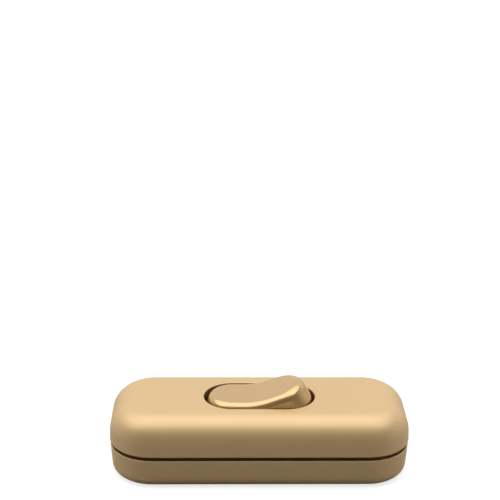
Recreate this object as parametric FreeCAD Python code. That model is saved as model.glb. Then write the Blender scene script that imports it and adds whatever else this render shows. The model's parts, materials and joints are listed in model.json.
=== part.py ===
import FreeCAD, Part
import math
import os

# Inline cord switch for a two-core lamp cord, sizes in millimetres.
# X runs along the cord, -Y is the front, Z is up, and the origin is the middle of the underside.

Vector = FreeCAD.Vector
X_AXIS = Vector(1, 0, 0)
Y_AXIS = Vector(0, 1, 0)
Z_AXIS = Vector(0, 0, 1)
ORIGIN = Vector(0, 0, 0)

# Case
case_length = 62.0
case_width = 26.0
corner_radius = 9.0
base_height = 6.4
seam_gap = 0.8
cover_height = 7.5
wall = 1.7
floor = 1.6
top_wall = 1.8
cover_lean = 0.2
base_lean = 0.5
base_inset = 0.1
cover_edge_radius = 5.5
base_edge_radius = 2.2
cavity_edge_radius = 0.7
seam_edge_radius = 0.22
lip_thickness = 0.8
lip_overlap = 1.0
lip_clearance = 0.1

# Rocker, drawn level about its own hinge axis and then tilted
opening_length = 23.1
opening_side_margin = 7.0
opening_edge_radius = 0.25
rocker_tilt = 10.0
rocker_side_clearance = 0.3
rocker_end_clearance = 0.25
rocker_end_lean = 20.0
rocker_side_lean = 2.5
rocker_shoulder = 1.5
hinge_depth = 3.5
rocker_crown = 4.3
facet_angle = 11.0
facet_blend_radius = 16.0
rocker_edge_radius = 1.8
rocker_wall = 1.3
skirt_depth = 1.5
trunnion_radius = 1.25
trunnion_end_gap = 0.1
running_clearance = 0.06
bearing_half_width = 2.6
bearing_side_clearance = 0.1
bearing_thickness = 1.35
bearing_split = 0.1

# Plunger and its spring, in the rocker's stem
stem_radius = 2.3
stem_length = 3.2
stem_bore_radius = 1.6
stem_bore_top = 2.0
plunger_guide_top = -1.6
plunger_guide_length = 1.0
plunger_tip_radius = 1.0
plunger_play = 0.1
spring_pin_radius = 0.7
spring_pin_length = 2.1
spring_wire = 0.4
spring_radial_gap = 0.12
spring_turns = 5

# Contact system
pad_height = 0.8
strip_thickness = 0.8
strip_width = 3.2
blade_tilt = 7.0
blade_pin_height = 2.1
blade_pin_radius = 0.6
blade_thickness = 0.6
blade_width = 4.0
blade_long_arm = 8.4
blade_short_arm = 3.4
blade_flank = 2.5
blade_flank_angle = 12.0
ear_gap = 0.3
ear_thickness = 0.8
ear_half_length = 1.7
ear_top_margin = 1.3
ear_corner_radius = 1.0
rivet_place = 7.2
rivet_head_radius = 1.3
rivet_head_height = 0.5
rivet_shank_radius = 0.8
rivet_tail_radius = 1.04
rivet_tail_height = 0.25
contact_gap = 0.05

# Terminals
terminal_boss_gap = 0.4
terminal_wall_gap = 1.4
terminal_length = 4.4
pad_inset = 0.3
terminal_width = 3.8
terminal_corner_radius = 0.4
terminal_height = 5.0
terminal_bore_radius = 1.25
terminal_bore_height = 2.6
terminal_pad_margin = 1.0
terminal_screw_radius = 1.25
terminal_head_radius = 1.9
terminal_head_height = 1.3
neutral_boss_gap = 2.1
neutral_width = 2.6
neutral_height = 3.8
neutral_bore_radius = 0.9
neutral_bore_depth = 5.0
neutral_screw_inset = 2.5
neutral_screw_radius = 0.9
neutral_head_radius = 1.5
neutral_head_height = 1.1
neutral_wall_clearance = 0.5
neutral_channel_gap = 0.3
neutral_pad_half_length = 1.0
thread_clearance = 0.03

# Cord inlets and grips
cord_hole_radius = 3.1
collar_depth = 2.5
collar_wall = 1.5
grip_collar_gap = 0.8
grip_wall_clearance = 0.3
grip_length = 3.8
grip_foot_height = 1.6
grip_arch_wall = 1.1
grip_arch_clearance = 0.05
grip_head_gap = 0.1
grip_post_radius = 1.8
grip_post_drop = 0.3
grip_screw_radius = 1.1
grip_screw_floor_gap = 1.2
grip_head_radius = 1.6
grip_head_height = 1.2
saddle_wall = 0.9
saddle_inset = 0.4
grip_pilot_spare = 0.3

# Case screws, one in each of two opposite corners
boss_grip_gap = 0.2
boss_wall_gap = 0.7
case_screw_radius = 1.1
screw_ceiling_gap = 1.7
case_head_radius = 1.9
case_head_height = 1.3
counterbore_clearance = 0.2
counterbore_depth = 2.6
screw_hole_clearance = 0.15
screw_boss_radius = 2.7
boss_gap = 0.1
pilot_spare = 0.6
slot_width = 0.5
slot_depth = 0.6
head_dome_share = 0.35

# How far a cutting tool runs past what it cuts, and how close two edges count as one
overshoot = 1.0
match = 0.01

# Heights and places that follow from the sizes above
opening_width = case_width - 2 * opening_side_margin
cover_bottom = base_height + seam_gap
case_top = cover_bottom + cover_height
ceiling = case_top - top_wall
lip_top = cover_bottom + lip_overlap
lip_inset = wall - lip_thickness
hinge_height = case_top - hinge_depth
hinge_point = Vector(0, 0, hinge_height)
cord_height = base_height + seam_gap / 2
inner_half_length = case_length / 2 - wall
inner_half_width = case_width / 2 - wall
rocker_half_width = opening_width / 2 - rocker_side_clearance
rocker_half_length = opening_length / 2 - rocker_end_clearance
strip_bottom = floor + pad_height
strip_top = strip_bottom + strip_thickness
blade_pivot_height = strip_top + blade_pin_height
blade_pivot = Vector(0, 0, blade_pivot_height)
plunger_reach = hinge_height - blade_pivot_height - blade_pin_radius - plunger_play
bearing_inner = opening_width / 2 + bearing_side_clearance
bearing_outer = bearing_inner + bearing_thickness
trunnion_end = bearing_outer - trunnion_end_gap
grip_place = inner_half_length - collar_depth - grip_collar_gap - grip_length / 2
grip_arch_inner = cord_hole_radius + grip_arch_clearance
grip_screw_offset = grip_arch_inner + grip_arch_wall + grip_head_radius + grip_head_gap
grip_half_span = grip_screw_offset + grip_post_radius + grip_head_gap
grip_post_top = base_height - grip_post_drop
grip_screw_length = grip_post_top + grip_foot_height - floor - grip_screw_floor_gap
case_screw_place = grip_place - grip_length / 2 - boss_grip_gap - screw_boss_radius
case_screw_line = inner_half_width - boss_wall_gap - screw_boss_radius
case_screw_length = ceiling - counterbore_depth - screw_ceiling_gap
boss_inner_end = case_screw_place - screw_boss_radius
terminal_place = boss_inner_end - terminal_boss_gap - terminal_length / 2
terminal_line = inner_half_width - terminal_wall_gap - terminal_width / 2
neutral_half_length = boss_inner_end - neutral_boss_gap
neutral_line = inner_half_width - neutral_wall_clearance - neutral_width / 2


# Basic shapes

def box(x_low, x_high, y_low, y_high, z_low, z_high):
    corner = Vector(x_low, y_low, z_low)
    return Part.makeBox(x_high - x_low, y_high - y_low, z_high - z_low, corner)


def rod(radius, start, end):
    return Part.makeCylinder(radius, (end - start).Length, start, end - start)


def upright(radius, x, y, z_low, z_high):
    return rod(radius, Vector(x, y, z_low), Vector(x, y, z_high))


def rounded_outline(half_length, half_width, radius, z):
    """Closed outline with four round corners, at height z."""
    cx = half_length - radius
    cy = half_width - radius
    diagonal = radius * math.sqrt(0.5)
    edges = []
    for sx, sy in ((1, 1), (-1, 1), (-1, -1), (1, -1)):
        ends = [Vector(sx * half_length, sy * cy, z), Vector(sx * cx, sy * half_width, z)]
        if sx != sy:
            ends.reverse()
        middle = Vector(sx * (cx + diagonal), sy * (cy + diagonal), z)
        edges.append(Part.Arc(ends[0], middle, ends[1]).toShape())
    sides = []
    for place, edge in enumerate(edges):
        start = edge.Vertexes[-1].Point
        end = edges[(place + 1) % len(edges)].Vertexes[0].Point
        sides.append(edge)
        if (end - start).Length > 1e-6:
            sides.append(Part.LineSegment(start, end).toShape())
    return Part.Wire(sides)


def stadium_outline(half_length, half_width, z):
    """Slot-shaped outline with two half-round ends, at height z."""
    centre = half_length - half_width
    edges = []
    for side in (1, -1):
        start = Vector(side * centre, -side * half_width, z)
        middle = Vector(side * half_length, 0, z)
        end = Vector(side * centre, side * half_width, z)
        across = Vector(-side * centre, side * half_width, z)
        edges.append(Part.Arc(start, middle, end).toShape())
        edges.append(Part.LineSegment(end, across).toShape())
    return Part.Wire(edges)


def prism(wire, height):
    return Part.Face(wire).extrude(Vector(0, 0, height))


def level_edges(shape, z):
    """Edges that lie wholly at height z."""
    return [edge for edge in shape.Edges if abs(edge.BoundBox.ZMin - z) < 1e-4
            and abs(edge.BoundBox.ZMax - z) < 1e-4]


def case_outline(inset, z):
    return rounded_outline(case_length / 2 - inset, case_width / 2 - inset, corner_radius - inset, z)


def case_block(z_low, z_high, inset_low, inset_high, round_z, round_radius):
    """Leaning block with the case's outline and one rounded rim."""
    block = Part.makeLoft([case_outline(inset_low, z_low), case_outline(inset_high, z_high)], True, True)
    return block.makeFillet(round_radius, level_edges(block, round_z))


def outer_rim(shape, z, inset):
    """Edges at height z that lie on the case's outline at this inset."""
    outline = case_outline(inset, z)
    return [edge for edge in level_edges(shape, z)
            if outline.distToShape(Part.Vertex(edge.valueAt(edge.FirstParameter)))[0] < 1e-3]


def slotted_screw(head_radius, head_height, shank_radius, length):
    """Round-headed screw that points down, with the underside of its head at z = 0."""
    dome = head_height * head_dome_share
    ball = (head_radius ** 2 + dome ** 2) / (2 * dome)
    point = shank_radius / 2
    start = Vector(0, 0, head_height)
    shoulder = Vector(head_radius, 0, head_height - dome)
    middle = Vector(head_radius / 2, 0, head_height - ball + math.sqrt(ball ** 2 - head_radius ** 2 / 4))
    corners = [shoulder, Vector(head_radius, 0, 0), Vector(shank_radius, 0, 0),
               Vector(shank_radius, 0, point - length), Vector(point, 0, -length),
               Vector(0, 0, -length), start]
    profile = [Part.Arc(start, middle, shoulder).toShape()]
    for first, second in zip(corners, corners[1:]):
        profile.append(Part.LineSegment(first, second).toShape())
    body = Part.Face(Part.Wire(profile)).revolve(ORIGIN, Z_AXIS, 360)
    slot = box(-head_radius - overshoot, head_radius + overshoot, -slot_width / 2, slot_width / 2,
               head_height - slot_depth, head_height + overshoot)
    return body.cut(slot)


def placed(shape, x, y, z):
    moved = shape.copy()
    moved.translate(Vector(x, y, z))
    return moved


# Case shells

def collar(z_low, z_high, side):
    """Thickened wall round half of a cord inlet."""
    outer = inner_half_length + wall / 2
    reach = cord_hole_radius + collar_wall
    ends = sorted((side * (inner_half_length - collar_depth), side * outer))
    return box(ends[0], ends[1], -reach, reach, z_low, z_high)


def cord_bore():
    reach = Vector(case_length, 0, 0)
    centre = Vector(0, 0, cord_height)
    inner = Vector(inner_half_length - collar_depth - overshoot, 0, 0)
    bores = [rod(cord_hole_radius, centre + inner, centre + reach),
             rod(cord_hole_radius, centre - inner, centre - reach)]
    return bores[0].fuse(bores[1])


def case_screw_places():
    return ((-case_screw_place, case_screw_line), (case_screw_place, -case_screw_line))


def make_base_shell():
    outer = case_block(0, base_height, base_inset + base_lean, base_inset, 0, base_edge_radius)
    outer = outer.makeFillet(seam_edge_radius, outer_rim(outer, base_height, base_inset))
    lip = prism(case_outline(lip_inset, floor), lip_top - floor)
    cavity = case_block(floor, lip_top + overshoot, wall + base_lean, wall, floor, cavity_edge_radius)
    shell = outer.fuse(lip).cut(cavity)
    inside = []
    for side in (1, -1):
        inside.append(collar(floor / 2, lip_top, side))
        low, high = sorted((side * bearing_inner, side * bearing_outer))
        inside.append(box(-bearing_half_width, bearing_half_width, low, high, floor / 2,
                          hinge_height - bearing_split))
        inside.append(grip_seat(side))
        inside.append(terminal_pad(side))
        pad_place = side * (neutral_half_length - neutral_bore_depth)
        inside.append(box(pad_place - neutral_pad_half_length, pad_place + neutral_pad_half_length,
                          neutral_line - neutral_width / 2, inner_half_width + wall / 2,
                          floor / 2, strip_bottom))
    inside.append(box(-ear_half_length, ear_half_length, -strip_width / 2, strip_width / 2,
                      floor / 2, strip_bottom))
    for x, y in case_screw_places():
        inside.append(upright(screw_boss_radius, x, y, floor / 2, base_height))
    shell = shell.multiFuse(inside)
    holes = [cord_bore(), bearing_bore(), grip_bores(), neutral_channel()]
    for x, y in case_screw_places():
        head = case_head_radius + counterbore_clearance
        holes.append(upright(head, x, y, -overshoot, counterbore_depth))
        holes.append(upright(case_screw_radius + screw_hole_clearance, x, y, 0, base_height + overshoot))
    for hole in holes:
        shell = shell.cut(hole)
    return shell.removeSplitter()


def bearing_bore():
    reach = Vector(0, bearing_outer + overshoot, 0)
    return rod(trunnion_radius + running_clearance, hinge_point - reach, hinge_point + reach)


def neutral_channel():
    """Way for the neutral bar through anything that stands on the floor."""
    reach = neutral_half_length + neutral_channel_gap
    half = neutral_width / 2 + neutral_channel_gap
    return box(-reach, reach, neutral_line - half, neutral_line + half, strip_bottom,
               strip_bottom + neutral_height + neutral_channel_gap)


def terminal_pad(side):
    """Block on the floor that carries one live terminal and its strip."""
    half = terminal_length / 2 - pad_inset
    x = side * terminal_place
    return box(x - half, x + half, -terminal_line - terminal_width / 2, -terminal_line + terminal_pad_margin,
               floor / 2, strip_bottom)


def grip_seat(side):
    """Two screw posts and a hollow saddle between them, under one cord grip."""
    x = side * grip_place
    saddle_half = grip_length / 2 - saddle_inset
    seat = box(x - saddle_half, x + saddle_half, -grip_screw_offset, grip_screw_offset,
               floor / 2, cord_height - cord_hole_radius + saddle_wall)
    for y in (grip_screw_offset, -grip_screw_offset):
        seat = seat.fuse(upright(grip_post_radius, x, y, floor / 2, grip_post_top))
    reach = Vector(grip_length, 0, 0)
    middle = Vector(x, 0, cord_height)
    hollow = rod(grip_arch_inner, middle - reach, middle + reach)
    return seat.cut(hollow)


def grip_bores():
    bores = []
    bottom = grip_post_top + grip_foot_height - grip_screw_length - grip_pilot_spare
    for side in (1, -1):
        for y in (grip_screw_offset, -grip_screw_offset):
            bores.append(upright(grip_screw_radius + thread_clearance, side * grip_place, y,
                                 bottom, grip_post_top + overshoot))
    return bores[0].multiFuse(bores[1:])


def make_top_cover():
    outer = case_block(cover_bottom, case_top, 0, cover_lean, case_top, cover_edge_radius)
    cavity = case_block(cover_bottom, ceiling, wall, wall + cover_lean, ceiling,
                        cover_edge_radius - wall)
    rebate = prism(case_outline(lip_inset - lip_clearance, cover_bottom), lip_overlap)
    opening = prism(stadium_outline(opening_length / 2, opening_width / 2, ceiling - overshoot),
                    top_wall + 2 * overshoot)
    inside = []
    for side in (1, -1):
        inside.append(collar(lip_top, cord_height + cord_hole_radius + collar_wall, side))
        low, high = sorted((side * bearing_inner, side * bearing_outer))
        inside.append(box(-bearing_half_width, bearing_half_width, low, high,
                          hinge_height, ceiling + top_wall / 2))
    for x, y in case_screw_places():
        inside.append(upright(screw_boss_radius, x, y, base_height + boss_gap, ceiling + top_wall / 2))
    shell = outer.cut(cavity).cut(rebate)
    shell = shell.makeFillet(seam_edge_radius, outer_rim(shell, cover_bottom, 0))
    shell = shell.multiFuse([piece.common(outer.fuse(prism(case_outline(wall, base_height), seam_gap)))
                             for piece in inside])
    shell = shell.cut(opening).cut(cord_bore()).cut(bearing_bore())
    for x, y in case_screw_places():
        tip = counterbore_depth + case_screw_length + pilot_spare
        shell = shell.cut(upright(case_screw_radius + thread_clearance, x, y, base_height, tip))
    shell = shell.removeSplitter()
    rim = [edge for edge in level_edges(shell, case_top)
           if edge.BoundBox.YMax < opening_width / 2 + match
           and edge.BoundBox.YMin > -opening_width / 2 - match
           and abs(edge.BoundBox.XMax) < opening_length / 2 + match]
    return shell.makeFillet(opening_edge_radius, rim)


# Rocker and plunger

def tilted(shape):
    """From the rocker's own level frame to its place in the case, right end up."""
    moved = shape.copy()
    moved.translate(hinge_point)
    moved.rotate(hinge_point, Y_AXIS, -rocker_tilt)
    return moved


def rocker_block(inset, depth):
    """Slot-shaped block under the two facets that leans in above its shoulder, thinner by inset."""
    height = 2 * rocker_crown
    narrow = height * math.tan(math.radians(rocker_side_lean))
    shorten = height * math.tan(math.radians(rocker_end_lean))
    half_length = rocker_half_length - inset
    half_width = rocker_half_width - inset
    lower = stadium_outline(half_length, half_width, rocker_shoulder)
    upper = stadium_outline(half_length - shorten, half_width - narrow, rocker_shoulder + height)
    block = Part.makeLoft([lower, upper], True, True)
    block = block.fuse(prism(stadium_outline(half_length, half_width, -depth), depth + rocker_shoulder))
    return block.common(under_facets(inset, depth))


def under_facets(inset, depth):
    """Everything below the two facets and the round hollow between them."""
    angle = math.radians(facet_angle)
    crown = rocker_crown - inset
    reach = opening_length
    tangent_x = facet_blend_radius * math.sin(angle)
    tangent_z = crown + facet_blend_radius * (1 - math.cos(angle))
    reach_z = tangent_z + (reach - tangent_x) * math.tan(angle)
    right = [Vector(tangent_x, 0, tangent_z), Vector(reach, 0, reach_z), Vector(reach, 0, -depth)]
    left = [Vector(-point.x, 0, point.z) for point in reversed(right)]
    edges = [Part.Arc(left[-1], Vector(0, 0, crown), right[0]).toShape()]
    corners = right + left
    for first, second in zip(corners, corners[1:]):
        edges.append(Part.LineSegment(first, second).toShape())
    face = Part.Face(Part.Wire(edges))
    face.translate(Vector(0, -opening_width, 0))
    return face.extrude(Vector(0, 2 * opening_width, 0))


def make_rocker_button():
    outer = rocker_block(0, skirt_depth).removeSplitter()
    top_edges = [edge for edge in outer.Edges if edge.BoundBox.ZMin > rocker_crown - match
                 and edge.BoundBox.YLength + edge.BoundBox.XLength > match
                 and not (edge.BoundBox.XLength < match and edge.BoundBox.YLength > opening_width / 2)]
    outer = outer.makeFillet(rocker_edge_radius, top_edges)
    hollow = rocker_block(rocker_wall, skirt_depth)
    stem = rod(stem_radius, Vector(0, 0, -stem_length), Vector(0, 0, rocker_crown - rocker_wall / 2))
    trunnions = []
    for side in (1, -1):
        start = Vector(0, side * (rocker_half_width - rocker_wall / 2), 0)
        end = Vector(0, side * trunnion_end, 0)
        trunnions.append(rod(trunnion_radius, start, end))
    bore = rod(stem_bore_radius, Vector(0, 0, -stem_length - overshoot), Vector(0, 0, stem_bore_top))
    button = outer.cut(hollow).multiFuse([stem] + trunnions).cut(bore)
    return tilted(button.removeSplitter())


def make_plunger():
    guide_radius = stem_bore_radius - running_clearance
    guide_bottom = plunger_guide_top - plunger_guide_length
    tip_centre = plunger_tip_radius - plunger_reach
    pin_top = plunger_guide_top + spring_pin_length
    tip_side = Vector(plunger_tip_radius, 0, tip_centre)
    tip_end = Vector(0, 0, -plunger_reach)
    tip_middle = Vector(plunger_tip_radius * math.sqrt(0.5), 0,
                        tip_centre - plunger_tip_radius * math.sqrt(0.5))
    corners = [tip_side, Vector(plunger_tip_radius, 0, guide_bottom), Vector(guide_radius, 0, guide_bottom),
               Vector(guide_radius, 0, plunger_guide_top), Vector(spring_pin_radius, 0, plunger_guide_top),
               Vector(spring_pin_radius, 0, pin_top), Vector(0, 0, pin_top), tip_end]
    edges = [Part.Arc(tip_end, tip_middle, tip_side).toShape()]
    for first, second in zip(corners, corners[1:]):
        edges.append(Part.LineSegment(first, second).toShape())
    return tilted(Part.Face(Part.Wire(edges)).revolve(ORIGIN, Z_AXIS, 360))


def make_plunger_spring():
    coil_radius = stem_bore_radius - spring_radial_gap - spring_wire / 2
    bottom = plunger_guide_top + spring_wire / 2
    height = stem_bore_top - plunger_guide_top - spring_wire
    helix = Part.makeHelix(height / spring_turns, height, coil_radius)
    circle = Part.Circle(Vector(coil_radius, 0, 0), Y_AXIS, spring_wire / 2).toShape()
    coil = Part.Wire(helix).makePipeShell([Part.Wire(circle)], True, True)
    coil.translate(Vector(0, 0, bottom))
    return tilted(coil)


# Contacts

def blade_tilted(shape):
    """From the blade's own level frame to its place, contact end down."""
    moved = shape.copy()
    moved.translate(blade_pivot)
    moved.rotate(blade_pivot, Y_AXIS, blade_tilt)
    return moved


def blade_rise():
    return blade_flank * math.tan(math.radians(blade_flank_angle))


def make_contact_blade():
    """Pressed strip with a shallow V over its pin, so that the plunger tips it to either side."""
    rise = blade_rise()
    half = blade_thickness / 2
    line = [(-blade_short_arm, rise), (-blade_flank, rise), (0, 0), (blade_flank, rise),
            (blade_long_arm, rise)]
    upper = [Vector(x, 0, z + half) for x, z in line]
    lower = [Vector(x, 0, z - half) for x, z in reversed(line)]
    face = Part.Face(Part.makePolygon(upper + lower + [upper[0]]))
    face.translate(Vector(0, -blade_width / 2, 0))
    strip = face.extrude(Vector(0, blade_width, 0))
    pin_half = blade_width / 2 + ear_gap + ear_thickness + ear_gap / 2
    pin = rod(blade_pin_radius, Vector(0, -pin_half, 0), Vector(0, pin_half, 0))
    hole = upright(rivet_shank_radius, rivet_place, 0, 0, rise + overshoot)
    return blade_tilted(strip.fuse(pin).cut(hole).removeSplitter())


def make_contact_blade_rivet():
    """Rivet through the blade, with its domed contact face below."""
    centre = blade_rise()
    under = centre - blade_thickness / 2
    shank = upright(rivet_shank_radius, rivet_place, 0, under, centre + blade_thickness / 2)
    tail = upright(rivet_tail_radius, rivet_place, 0, centre + blade_thickness / 2,
                   centre + blade_thickness / 2 + rivet_tail_height)
    ball_radius = (rivet_head_radius ** 2 + rivet_head_height ** 2) / (2 * rivet_head_height)
    ball = Part.makeSphere(ball_radius, Vector(rivet_place, 0, under - rivet_head_height + ball_radius))
    head = ball.common(upright(rivet_head_radius, rivet_place, 0, under - rivet_head_height, under))
    return blade_tilted(shank.fuse(tail).fuse(head).removeSplitter())


def strip_arm(side, inner_end):
    """Flat strip from inner_end on the centre line to the terminal on one side, bent round in plan."""
    outer = terminal_place + terminal_length / 2
    inner = terminal_place - terminal_length / 2
    front = -terminal_line - terminal_width / 2
    first = sorted((side * inner_end, side * outer))
    second = sorted((side * inner, side * outer))
    along = box(first[0], first[1], -strip_width / 2, strip_width / 2, strip_bottom, strip_top)
    across = box(second[0], second[1], front, strip_width / 2, strip_bottom, strip_top)
    return along.fuse(across)


def make_pivot_bracket():
    """Strip that ends in two upright ears with holes for the blade's pin."""
    ear_inner = blade_width / 2 + ear_gap
    ear_outer = ear_inner + ear_thickness
    bracket = strip_arm(-1, ear_half_length)
    bracket = bracket.fuse(box(-ear_half_length, ear_half_length, -ear_outer, ear_outer,
                               strip_bottom, strip_top))
    for side in (1, -1):
        low, high = sorted((side * ear_inner, side * ear_outer))
        bracket = bracket.fuse(box(-ear_half_length, ear_half_length, low, high,
                                   strip_bottom, blade_pivot_height + ear_top_margin))
    reach = Vector(0, ear_outer + overshoot, 0)
    bracket = bracket.cut(rod(blade_pin_radius + running_clearance, blade_pivot - reach, blade_pivot + reach))
    corners = [edge for edge in bracket.Edges
               if abs(edge.BoundBox.YLength - ear_thickness) < match and edge.BoundBox.XLength < match
               and edge.BoundBox.ZMin > blade_pivot_height + ear_top_margin - match]
    return bracket.makeFillet(ear_corner_radius, corners).removeSplitter()


def fixed_contact_place():
    """Place of the fixed contact's centre line, under the closed blade's rivet."""
    low = blade_rise() - blade_thickness / 2 - rivet_head_height
    angle = math.radians(blade_tilt)
    x = rivet_place * math.cos(angle) + low * math.sin(angle)
    z = blade_pivot_height - rivet_place * math.sin(angle) + low * math.cos(angle)
    return x, z


def make_fixed_contact_strip():
    x, _ = fixed_contact_place()
    strip = strip_arm(1, x - strip_width / 2)
    return strip.cut(upright(rivet_shank_radius, x, 0, 0, strip_top + overshoot)).removeSplitter()


def make_fixed_contact_rivet():
    x, blade_face = fixed_contact_place()
    top = blade_face - contact_gap
    rivet = upright(rivet_head_radius, x, 0, strip_top, top)
    rivet = rivet.fuse(upright(rivet_shank_radius, x, 0, strip_bottom, strip_top))
    rivet = rivet.fuse(upright(rivet_tail_radius, x, 0, strip_bottom - rivet_tail_height, strip_bottom))
    return rivet.removeSplitter()


# Terminals

def make_live_terminal(side):
    """Pillar with a cross bore for the wire and a threaded hole for the screw above it."""
    x = side * terminal_place
    half_length = terminal_length / 2
    half_width = terminal_width / 2
    pillar = box(x - half_length, x + half_length, -terminal_line - half_width, -terminal_line + half_width,
                 strip_top, strip_top + terminal_height)
    upright_edges = [edge for edge in pillar.Edges if edge.BoundBox.ZLength > terminal_height - match]
    pillar = pillar.makeFillet(terminal_corner_radius, upright_edges)
    bore_height = strip_top + terminal_bore_height
    bore = rod(terminal_bore_radius, Vector(x - half_length - overshoot, -terminal_line, bore_height),
               Vector(x + half_length + overshoot, -terminal_line, bore_height))
    thread = upright(terminal_screw_radius + thread_clearance, x, -terminal_line, bore_height,
                     strip_top + terminal_height + overshoot)
    return pillar.cut(bore).cut(thread)


def make_live_screw(side):
    length = terminal_height - terminal_bore_height
    screw = slotted_screw(terminal_head_radius, terminal_head_height, terminal_screw_radius, length)
    return placed(screw, side * terminal_place, -terminal_line, strip_top + terminal_height)


def make_neutral_link():
    half = neutral_half_length
    bottom = strip_bottom
    bar = box(-half, half, neutral_line - neutral_width / 2, neutral_line + neutral_width / 2,
              bottom, bottom + neutral_height)
    bore_height = bottom + neutral_height / 2
    for side in (1, -1):
        mouth = Vector(side * (half + overshoot), neutral_line, bore_height)
        end = Vector(side * (half - neutral_bore_depth), neutral_line, bore_height)
        bar = bar.cut(rod(neutral_bore_radius, mouth, end))
        bar = bar.cut(upright(neutral_screw_radius + thread_clearance, side * (half - neutral_screw_inset),
                              neutral_line, bore_height, bottom + neutral_height + overshoot))
    return bar


def make_neutral_screw(side):
    screw = slotted_screw(neutral_head_radius, neutral_head_height, neutral_screw_radius, neutral_height / 2)
    return placed(screw, side * (neutral_half_length - neutral_screw_inset), neutral_line,
                  strip_bottom + neutral_height)


# Cord grips

def make_cord_grip(side):
    """Bar with an arch over the cord and a screw foot each side of it."""
    x = side * grip_place - grip_length / 2
    start = Vector(x, 0, cord_height)
    end = Vector(x + grip_length, 0, cord_height)
    feet = box(x, x + grip_length, -grip_half_span, grip_half_span,
               grip_post_top, grip_post_top + grip_foot_height)
    arch = rod(grip_arch_inner + grip_arch_wall, start, end)
    above = box(x, x + grip_length, -grip_half_span, grip_half_span, grip_post_top, case_top)
    bar = feet.fuse(arch.common(above)).cut(rod(grip_arch_inner, start - X_AXIS, end + X_AXIS))
    for y in (grip_screw_offset, -grip_screw_offset):
        bar = bar.cut(upright(grip_screw_radius + screw_hole_clearance, side * grip_place, y,
                              grip_post_top - overshoot, case_top))
    room = prism(case_outline(wall + grip_wall_clearance, 0), case_top)
    return bar.common(room).removeSplitter()


def make_grip_screws(side):
    screw = slotted_screw(grip_head_radius, grip_head_height, grip_screw_radius, grip_screw_length)
    top = grip_post_top + grip_foot_height
    return Part.makeCompound([placed(screw, side * grip_place, y, top)
                              for y in (grip_screw_offset, -grip_screw_offset)])


def make_case_screw(x, y):
    screw = slotted_screw(case_head_radius, case_head_height, case_screw_radius, case_screw_length)
    screw.rotate(ORIGIN, X_AXIS, 180)
    return placed(screw, x, y, counterbore_depth)


def build():
    left_screw, right_screw = case_screw_places()
    return {
        "top_cover": make_top_cover(),
        "base_shell": make_base_shell(),
        "rocker_button": make_rocker_button(),
        "plunger": make_plunger(),
        "plunger_spring": make_plunger_spring(),
        "contact_blade": make_contact_blade(),
        "contact_blade_rivet": make_contact_blade_rivet(),
        "pivot_bracket": make_pivot_bracket(),
        "fixed_contact_strip": make_fixed_contact_strip(),
        "fixed_contact_rivet": make_fixed_contact_rivet(),
        "live_terminal_left": make_live_terminal(-1),
        "live_terminal_right": make_live_terminal(1),
        "live_screw_left": make_live_screw(-1),
        "live_screw_right": make_live_screw(1),
        "neutral_link": make_neutral_link(),
        "neutral_screw_left": make_neutral_screw(-1),
        "neutral_screw_right": make_neutral_screw(1),
        "cord_grip_left": make_cord_grip(-1),
        "cord_grip_right": make_cord_grip(1),
        "grip_screws_left": make_grip_screws(-1),
        "grip_screws_right": make_grip_screws(1),
        "case_screw_left": make_case_screw(*left_screw),
        "case_screw_right": make_case_screw(*right_screw),
    }


os.makedirs("parts", exist_ok=True)
for name, shape in build().items():
    shape.exportStep("parts/" + name + ".step")
    print(name, len(shape.Solids), "solid", shape.isValid(), round(shape.Volume, 2))
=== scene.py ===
import json
import math

import bmesh
import bpy
from mathutils import Matrix, Vector


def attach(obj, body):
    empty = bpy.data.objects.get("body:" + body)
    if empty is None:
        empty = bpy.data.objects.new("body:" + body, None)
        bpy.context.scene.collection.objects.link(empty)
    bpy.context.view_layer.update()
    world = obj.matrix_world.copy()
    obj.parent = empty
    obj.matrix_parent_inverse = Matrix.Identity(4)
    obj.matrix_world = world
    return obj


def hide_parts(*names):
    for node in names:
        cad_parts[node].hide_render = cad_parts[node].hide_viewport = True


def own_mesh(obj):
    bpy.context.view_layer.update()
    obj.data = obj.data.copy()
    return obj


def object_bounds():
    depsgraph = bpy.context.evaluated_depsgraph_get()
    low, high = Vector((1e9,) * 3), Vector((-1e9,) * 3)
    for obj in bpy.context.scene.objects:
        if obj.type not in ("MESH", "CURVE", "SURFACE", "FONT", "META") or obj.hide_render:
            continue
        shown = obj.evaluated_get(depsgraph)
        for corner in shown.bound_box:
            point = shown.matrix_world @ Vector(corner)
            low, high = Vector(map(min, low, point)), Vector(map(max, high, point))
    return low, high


MM = 0.001

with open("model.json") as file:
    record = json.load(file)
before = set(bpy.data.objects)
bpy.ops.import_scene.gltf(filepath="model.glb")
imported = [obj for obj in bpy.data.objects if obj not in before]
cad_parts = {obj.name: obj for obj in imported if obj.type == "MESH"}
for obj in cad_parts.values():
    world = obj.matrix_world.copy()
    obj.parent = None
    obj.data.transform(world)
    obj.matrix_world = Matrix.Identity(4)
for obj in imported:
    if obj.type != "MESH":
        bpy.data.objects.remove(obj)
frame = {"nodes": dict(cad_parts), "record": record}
cad_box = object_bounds()
scene = bpy.context.scene
scene.view_settings.view_transform = "Standard"

# Camera of the photograph, which looks down at the front from a little left; distances in metres
IMAGE_SIZE = 500
SENSOR_MM = 36.0
FOCAL_PIXELS = 1338.0
CAMERA_DISTANCE = 0.284
CAMERA_ELEVATION = math.radians(27.94)
CAMERA_TURN = math.radians(1.7)
CAMERA_ROLL = math.radians(0.69)
CLIP_START = 0.01
CLIP_END = 20.0
AIM = Vector((0, 0, 8 * MM))
AIM_PIXEL = (261.1, 424.0)

# Heights and reach of the seam and the rocker's opening, mm, which bound the shade painted into the
# case's colour
SEAM_BOTTOM = 6.4
SEAM_TOP = 7.2
OPENING_TOP = 14.7
CEILING = 12.9
OPENING_LENGTH = 23.1
OPENING_WIDTH = 12.0
GAP_SOFTNESS = 0.06
RIM_SOFTNESS = 4 * GAP_SOFTNESS

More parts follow.
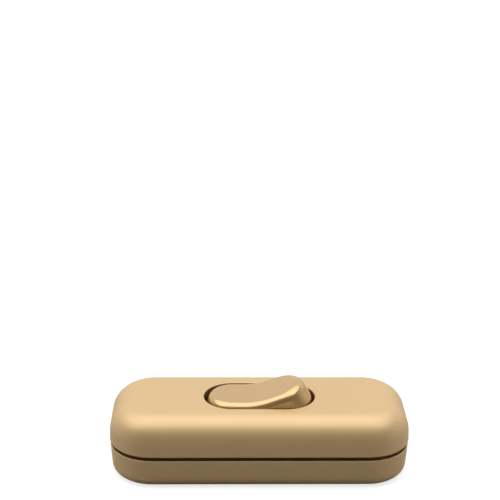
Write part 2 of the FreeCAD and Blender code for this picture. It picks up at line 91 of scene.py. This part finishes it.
# Spring in the rocker's stem, mm; its bottom and top count from the hinge, along the stem
HINGE_HEIGHT = 11.2
ROCKER_TILT = math.radians(10.0)
SPRING_BOTTOM = -1.58
SPRING_TOP = 1.98
SPRING_RADIUS = 1.28
SPRING_WIRE = 0.4
SPRING_TURNS = 5
CLOSED_TURNS = 0.75
CLOSED_PITCH = 1.04 * SPRING_WIRE
TURN_STEPS = 32
WIRE_SIDES = 10

# Colours, linear
CASE_COLOUR = (0.69, 0.475, 0.232)
ROCKER_COLOUR = (0.56, 0.36, 0.15)
GOLD_SHEEN = (1.0, 0.82, 0.60)
PALE_SHEEN = (1.0, 0.90, 0.76)
INNER_PLASTIC_COLOUR = (0.62, 0.60, 0.54)
BRASS_COLOUR = (0.78, 0.56, 0.24)
SILVER_COLOUR = (0.86, 0.86, 0.84)
ZINC_COLOUR = (0.60, 0.61, 0.63)
SPRING_COLOUR = (0.42, 0.43, 0.45)
# Painted shade for the faces inside the seam and under the rim of the rocker's opening
SHADE_PAINT_COLOUR = (0.22, 0.12, 0.03)
FLOOR_SEEN = (0.45, 0.45, 0.45)
FLOOR_MIRRORED = (0.62, 0.60, 0.58)
FLOOR_BOUNCE = (0.06, 0.055, 0.045)
WHITE = (1.0, 1.0, 1.0)

# Mottle and grain of every surface
MOTTLE_MM = 6.0
MOTTLE_DETAIL = 3
GRAIN_DETAIL = 2
ROUGHNESS_SPREAD = 0.05

SURFACES = {
    # The case's colour carries painted shade inside the seam and under the opening's rim
    "case_gold": dict(colour=CASE_COLOUR, roughness=0.43, metallic=0.23, specular=1.0,
                      sheen_tint=PALE_SHEEN, grain_mm=0.25, gap_shade_paint=SHADE_PAINT_COLOUR),
    "rocker_gold": dict(colour=ROCKER_COLOUR, roughness=0.22, metallic=0.55, specular=1.0,
                        sheen_tint=GOLD_SHEEN, lacquer=0.6, variation=0.02, grain_mm=0.8,
                        grain_depth_mm=0.001),
    "inner_plastic": dict(colour=INNER_PLASTIC_COLOUR, roughness=0.5, grain_mm=0.5),
    "brass": dict(colour=BRASS_COLOUR, roughness=0.3, metallic=1.0, grain_mm=0.4,
                  grain_depth_mm=0.003),
    "silver_contact": dict(colour=SILVER_COLOUR, roughness=0.2, metallic=1.0, grain_mm=0.2,
                           grain_depth_mm=0.002),
    "screw_steel": dict(colour=ZINC_COLOUR, roughness=0.32, metallic=1.0),
    "spring_steel": dict(colour=SPRING_COLOUR, roughness=0.28, metallic=1.0, grain_mm=0.2,
                         grain_depth_mm=0.001),
}

# Floor, metres; its glow rises to white with the distance from the object
FLOOR_SIZE = 8.0
FLOOR_CLEARANCE = 0.02 * MM
FLOOR_ROUGHNESS = 0.9
GLOW_NEAR = 0.74
GLOW_NEAR_DISTANCE = 0.2
GLOW_FAR_DISTANCE = 1.5

# Room in reflections, by the Y part of a direction, from -1 at the front to 1 at the back
ROOM_DIM = 0.1
ROOM_DIM_BELOW = -0.3
ROOM_WHITE_ABOVE = 0.6

# Lamps, metres
LAMP_HEIGHT = 0.9
SIDE_LAMP_SIZE = (0.8, 0.3)


# Node materials

def feed(tree, socket, value):
    """Sets a socket to a number or a colour, or links it to another node's output."""
    if isinstance(value, bpy.types.NodeSocket):
        tree.links.new(value, socket)
    else:
        socket.default_value = value


def opaque(colour):
    return (*colour, 1)


def scaled(tree, value, low, high, start=0.0, end=1.0):
    """Maps start..end to low..high."""
    ramp = tree.nodes.new("ShaderNodeMapRange")
    feed(tree, ramp.inputs["Value"], value)
    feed(tree, ramp.inputs["From Min"], start)
    feed(tree, ramp.inputs["From Max"], end)
    feed(tree, ramp.inputs["To Min"], low)
    feed(tree, ramp.inputs["To Max"], high)
    return ramp.outputs["Result"]


def combined(tree, operation, first, second):
    node = tree.nodes.new("ShaderNodeMath")
    node.operation = operation
    feed(tree, node.inputs[0], first)
    feed(tree, node.inputs[1], second)
    return node.outputs[0]


def mixed(tree, share, first, second):
    """The first colour where share is 0, and the second where it is 1."""
    mix = tree.nodes.new("ShaderNodeMix")
    mix.data_type = "RGBA"
    feed(tree, mix.inputs["Factor"], share)
    feed(tree, mix.inputs["A"], first)
    feed(tree, mix.inputs["B"], second)
    return mix.outputs["Result"]


def noise(tree, place, size_mm, detail):
    node = tree.nodes.new("ShaderNodeTexNoise")
    feed(tree, node.inputs["Vector"], place)
    feed(tree, node.inputs["Scale"], 1 / (size_mm * MM))
    feed(tree, node.inputs["Detail"], detail)
    return node.outputs["Fac"]


def object_place(tree):
    return tree.nodes.new("ShaderNodeTexCoord").outputs["Object"]


def split_axes(tree, vector):
    axes = tree.nodes.new("ShaderNodeSeparateXYZ")
    feed(tree, axes.inputs["Vector"], vector)
    return axes.outputs


def painted_shade_mask(tree, place):
    """Mask of painted shade: 1 on the faces inside the seam and under the rim of the rocker's opening,
    where shade falls, 0 elsewhere.
    """
    along, across, height = split_axes(tree, place)
    above_base = scaled(tree, height, 0, 1, (SEAM_BOTTOM - GAP_SOFTNESS) * MM, SEAM_BOTTOM * MM)
    below_cover = scaled(tree, height, 1, 0, SEAM_TOP * MM, (SEAM_TOP + GAP_SOFTNESS) * MM)
    seam = combined(tree, "MULTIPLY", above_base, below_cover)
    under_rim = scaled(tree, height, 1, 0, (OPENING_TOP - RIM_SOFTNESS) * MM,
                       (OPENING_TOP - GAP_SOFTNESS) * MM)
    above_ceiling = scaled(tree, height, 0, 1, (CEILING - GAP_SOFTNESS) * MM, CEILING * MM)
    opening = combined(tree, "MULTIPLY", under_rim, above_ceiling)
    for axis, reach in ((along, OPENING_LENGTH / 2), (across, OPENING_WIDTH / 2)):
        distance = combined(tree, "ABSOLUTE", axis, 0.0)
        near = scaled(tree, distance, 1, 0, reach * MM, (reach + GAP_SOFTNESS) * MM)
        opening = combined(tree, "MULTIPLY", opening, near)
    return combined(tree, "MAXIMUM", seam, opening)


def new_material(name):
    """A material with its node tree and its shader."""
    made = bpy.data.materials.new(name)
    made.use_nodes = True
    tree = made.node_tree
    return made, tree, tree.nodes["Principled BSDF"]


def material(name, colour, roughness, metallic=0.0, specular=0.5, sheen_tint=WHITE, lacquer=0.0,
             variation=0.03, grain_mm=0.3, grain_depth_mm=0.004, gap_shade_paint=None):
    """Surface with a soft mottle in its colour, and a fine grain in its roughness and its bump; with a
    gap shade given, shade is painted into its colour inside the seam and under the opening's rim.
    """
    made, tree, shader = new_material(name)
    shader.inputs["Metallic"].default_value = metallic
    shader.inputs["Specular IOR Level"].default_value = specular
    shader.inputs["Specular Tint"].default_value = opaque(sheen_tint)
    shader.inputs["Coat Weight"].default_value = lacquer
    shader.inputs["Coat Roughness"].default_value = roughness
    place = object_place(tree)
    # Painted shade: the colour darkens inside the seam and under the rim of the opening
    if gap_shade_paint:
        colour = mixed(tree, painted_shade_mask(tree, place), opaque(colour), opaque(gap_shade_paint))
    mottle = noise(tree, place, MOTTLE_MM, MOTTLE_DETAIL)
    shaded = tree.nodes.new("ShaderNodeVectorMath")
    shaded.operation = "SCALE"
    feed(tree, shaded.inputs[0], colour)
    feed(tree, shaded.inputs["Scale"], scaled(tree, mottle, 1 - variation, 1 + variation))
    feed(tree, shader.inputs["Base Color"], shaded.outputs["Vector"])
    grain = noise(tree, place, grain_mm, GRAIN_DETAIL)
    rough = scaled(tree, grain, roughness - ROUGHNESS_SPREAD, roughness + ROUGHNESS_SPREAD)
    feed(tree, shader.inputs["Roughness"], rough)
    bump = tree.nodes.new("ShaderNodeBump")
    feed(tree, bump.inputs["Strength"], 1.0)
    feed(tree, bump.inputs["Distance"], grain_depth_mm * MM)
    feed(tree, bump.inputs["Height"], grain)
    feed(tree, shader.inputs["Normal"], bump.outputs["Normal"])
    return made


def dress_nodes(materials):
    """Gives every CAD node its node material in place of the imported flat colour."""
    for row in frame["record"]["subparts"]:
        piece = frame["nodes"][row["node"]]
        for slot in piece.material_slots:
            slot.material = materials[row["material_slot"]]


# Spring

def coil_height(turn):
    """Height above the wire's lower end; the turns lie closed at both ends and open between them."""
    height = SPRING_TOP - SPRING_BOTTOM - SPRING_WIRE
    open_turns = SPRING_TURNS - 2 * CLOSED_TURNS
    open_pitch = (height - 2 * CLOSED_TURNS * CLOSED_PITCH) / open_turns
    opened = min(max(turn - CLOSED_TURNS, 0), open_turns)
    return opened * open_pitch + (turn - opened) * CLOSED_PITCH


def wire_ring(mesh, turn):
    """Ring of points round the wire, so many turns from its lower end."""
    outward = Vector((math.cos(turn * math.tau), math.sin(turn * math.tau), 0))
    middle = outward * SPRING_RADIUS
    middle.z = SPRING_BOTTOM + SPRING_WIRE / 2 + coil_height(turn)
    ring = []
    for side in range(WIRE_SIDES):
        angle = side / WIRE_SIDES * math.tau
        across = outward * math.cos(angle) + Vector((0, 0, math.sin(angle)))
        ring.append(mesh.verts.new((middle + across * SPRING_WIRE / 2) * MM))
    return ring


def coil_mesh(stem_place):
    """The coiled wire, flat at its two ends, set in the stem."""
    mesh = bmesh.new()
    rings = [wire_ring(mesh, step / TURN_STEPS) for step in range(SPRING_TURNS * TURN_STEPS + 1)]
    for first, second in zip(rings, rings[1:]):
        for side in range(WIRE_SIDES):
            after = (side + 1) % WIRE_SIDES
            wall = mesh.faces.new((first[side], first[after], second[after], second[side]))
            wall.smooth = True
    mesh.faces.new(reversed(rings[0]))
    mesh.faces.new(rings[-1])
    bmesh.ops.transform(mesh, matrix=stem_place, verts=mesh.verts)
    bmesh.ops.recalc_face_normals(mesh, faces=mesh.faces)
    data = bpy.data.meshes.new("spring_coils")
    mesh.to_mesh(data)
    mesh.free()
    return data


def make_spring(steel):
    """Spring that pushes the plunger out of the stem, built in place of the imported one and carried
    with the rocker.
    """
    tilt = Matrix.Rotation(-ROCKER_TILT, 4, "Y")
    stem_place = Matrix.Translation((0, 0, HINGE_HEIGHT * MM)) @ tilt
    data = coil_mesh(stem_place)
    data.materials.append(steel)
    spring = bpy.data.objects.new("spring_coils", data)
    scene.collection.objects.link(spring)
    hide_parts("plunger_spring")
    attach(spring, "rocker")
    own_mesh(spring)


# Floor, lights and camera

def mirrored_rays(tree, path):
    """1 for what gloss or a clear surface shows, 0 for what is seen directly or lights the object."""
    return combined(tree, "MAXIMUM", path.outputs["Is Glossy Ray"], path.outputs["Is Transmission Ray"])


def floor_material():
    """White where it is seen, with a soft shadow, and darker in the light that it throws back."""
    made, tree, shader = new_material("floor")
    shader.inputs["Roughness"].default_value = FLOOR_ROUGHNESS
    shader.inputs["Specular IOR Level"].default_value = 0.0
    shader.inputs["Emission Color"].default_value = opaque(WHITE)
    path = tree.nodes.new("ShaderNodeLightPath")
    seen = path.outputs["Is Camera Ray"]
    colour = mixed(tree, mirrored_rays(tree, path), opaque(FLOOR_BOUNCE), opaque(FLOOR_MIRRORED))
    colour = mixed(tree, seen, colour, opaque(FLOOR_SEEN))
    feed(tree, shader.inputs["Base Color"], colour)
    distance = tree.nodes.new("ShaderNodeVectorMath")
    distance.operation = "LENGTH"
    feed(tree, distance.inputs[0], object_place(tree))
    glow = scaled(tree, distance.outputs["Value"], GLOW_NEAR, 1, GLOW_NEAR_DISTANCE, GLOW_FAR_DISTANCE)
    feed(tree, shader.inputs["Emission Strength"], combined(tree, "MULTIPLY", glow, seen))
    return made


def make_floor():
    """Plane a hair under the object, clear of its underside."""
    height = cad_box[0][2] - FLOOR_CLEARANCE
    bpy.ops.mesh.primitive_plane_add(size=FLOOR_SIZE, location=(0, 0, height))
    floor = bpy.context.object
    floor.name = "floor"
    floor.data.materials.append(floor_material())


def make_world():
    """White where it is seen; in reflections white behind the object and dim in front of it."""
    world = bpy.data.worlds.new("studio")
    world.use_nodes = True
    tree = world.node_tree
    background = tree.nodes["Background"]
    background.inputs["Color"].default_value = opaque(WHITE)
    path = tree.nodes.new("ShaderNodeLightPath")
    direction = tree.nodes.new("ShaderNodeTexCoord").outputs["Generated"]
    backward = split_axes(tree, direction)["Y"]
    room = scaled(tree, backward, ROOM_DIM, 1, ROOM_DIM_BELOW, ROOM_WHITE_ABOVE)
    room = combined(tree, "MULTIPLY", room, mirrored_rays(tree, path))
    strength = combined(tree, "MAXIMUM", room, path.outputs["Is Camera Ray"])
    feed(tree, background.inputs["Strength"], strength)
    scene.world = world


def area_light(name, place, aim, size, watts):
    data = bpy.data.lights.new(name, "AREA")
    data.shape = "RECTANGLE"
    data.size, data.size_y = size
    data.energy = watts
    lamp = bpy.data.objects.new(name, data)
    scene.collection.objects.link(lamp)
    lamp.location = place
    lamp.rotation_euler = (Vector(aim) - Vector(place)).to_track_quat("-Z", "Y").to_euler()
    return lamp


def hanging_lamp(name, x, y, size, watts):
    """Lamp that faces straight down, so that its edges stay in line with the case."""
    area_light(name, (x, y, LAMP_HEIGHT), (x, y, 0), size, watts)


def side_lamp(name, place, watts):
    """Lamp beside the object that brightens its ends but isn't mirrored in their gloss."""
    lamp = area_light(name, place, (0, 0, 0), SIDE_LAMP_SIZE, watts)
    lamp.visible_glossy = False


def make_lights():
    hanging_lamp("overhead", x=-0.16, y=-0.07, size=(2.0, 0.74), watts=11.2)
    hanging_lamp("behind", x=-0.16, y=0.5, size=(2.0, 0.4), watts=3.4)
    side_lamp("left", place=(-0.9, -0.09, 0.24), watts=2.1)
    side_lamp("right", place=(0.9, -0.11, 0.14), watts=2.5)


def make_camera():
    """Stands where the photograph was taken, turned so that the object lies low in the frame."""
    data = bpy.data.cameras.new("camera")
    data.sensor_width = SENSOR_MM
    data.lens = FOCAL_PIXELS * SENSOR_MM / IMAGE_SIZE
    data.clip_start = CLIP_START
    data.clip_end = CLIP_END
    camera = bpy.data.objects.new("camera", data)
    scene.collection.objects.link(camera)
    turn = Matrix.Rotation(-CAMERA_TURN, 3, "Z")
    ahead = turn @ Vector((0, math.cos(CAMERA_ELEVATION), -math.sin(CAMERA_ELEVATION)))
    right = turn @ Vector((1, 0, 0))
    up = right.cross(ahead)
    place = AIM - ahead * CAMERA_DISTANCE
    lift = math.atan((AIM_PIXEL[1] - IMAGE_SIZE / 2) / FOCAL_PIXELS)
    swing = math.atan((AIM_PIXEL[0] - IMAGE_SIZE / 2) / FOCAL_PIXELS)
    lifted = ahead * math.cos(lift) + up * math.sin(lift)
    up = up * math.cos(lift) - ahead * math.sin(lift)
    swung = lifted * math.cos(swing) - right * math.sin(swing)
    right = right * math.cos(swing) + lifted * math.sin(swing)
    basis = Matrix((right, up, -swung)).transposed() @ Matrix.Rotation(CAMERA_ROLL, 3, "Z")
    camera.matrix_world = Matrix.Translation(place) @ basis.to_4x4()
    scene.camera = camera


make_camera()
make_floor()
make_world()
make_lights()
materials = {name: material(name, **surface) for name, surface in SURFACES.items()}
dress_nodes(materials)
make_spring(materials["spring_steel"])
